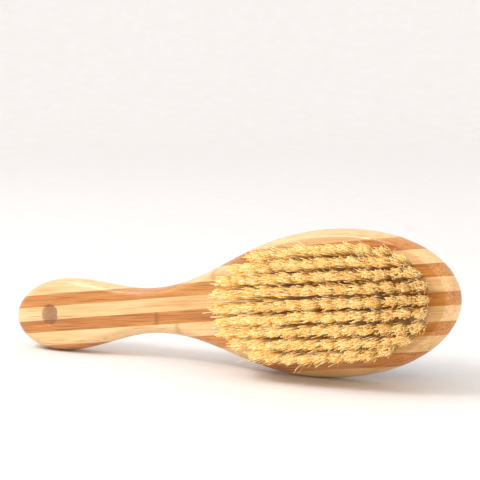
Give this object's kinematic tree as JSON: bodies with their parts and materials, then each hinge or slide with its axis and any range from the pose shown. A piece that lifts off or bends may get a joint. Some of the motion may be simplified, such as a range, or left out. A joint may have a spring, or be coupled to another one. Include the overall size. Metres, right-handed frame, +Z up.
{
  "type": "double-sided pet brush",
  "caption": "Laminated bamboo pet brush: rows of plant-fibre tufts on one face, ball-tipped steel pins in a domed rubber cushion on the other, and a hanging hole in the grip.",
  "frame": {"origin": "middle of the whole brush's box in plan, on the table it stands on", "axes": "+X from the grip's end to the head's tip, -Y the way the tufts look, +Y the way the pins look, +Z up as the brush stands on its long edge"},
  "size_m": [0.2338, 0.0592, 0.0654],
  "materials": {
    "light_bamboo": "natural laminated bamboo under a thin satin lacquer",
    "brown_bamboo": "carbonised bamboo under the same satin lacquer",
    "plant_fibre": "stiff straw-coloured plant fibre, cut square at the tips",
    "steel": "bright drawn wire pins with round tips",
    "rubber": "matt black moulded rubber"
  },
  "bodies": {
    "body": {"strip_01": "light_bamboo", "strip_02": "brown_bamboo", "strip_03_grip": "light_bamboo", "strip_03_head": "light_bamboo", "strip_04": "brown_bamboo", "strip_05_grip": "light_bamboo", "strip_05_head": "light_bamboo", "strip_06": "brown_bamboo", "strip_07": "light_bamboo", "strip_08_grip": "brown_bamboo", "strip_08_head": "brown_bamboo", "strip_09": "light_bamboo", "strip_10": "brown_bamboo", "strip_11": "light_bamboo", "tuft_row_1": "plant_fibre", "tuft_row_2": "plant_fibre", "tuft_row_3": "plant_fibre", "tuft_row_4": "plant_fibre", "tuft_row_5": "plant_fibre", "tuft_row_6": "plant_fibre", "tuft_row_7": "plant_fibre", "tuft_row_8": "plant_fibre", "tuft_row_9": "plant_fibre", "cushion": "rubber"},
    "pin_field": {"pin_ring_1": "steel", "pin_ring_2": "steel", "pin_ring_3": "steel", "pin_ring_4": "steel"}
  },
  "joints": [
    {"name": "pin_press", "type": "slide", "parent": "body", "child": "pin_field", "axis": [-0.0126, -0.9927, 0.1197], "range_m": [0, 0.003], "stiffness_N_per_m": 6000, "deforming": ["cushion"]}
  ]
}
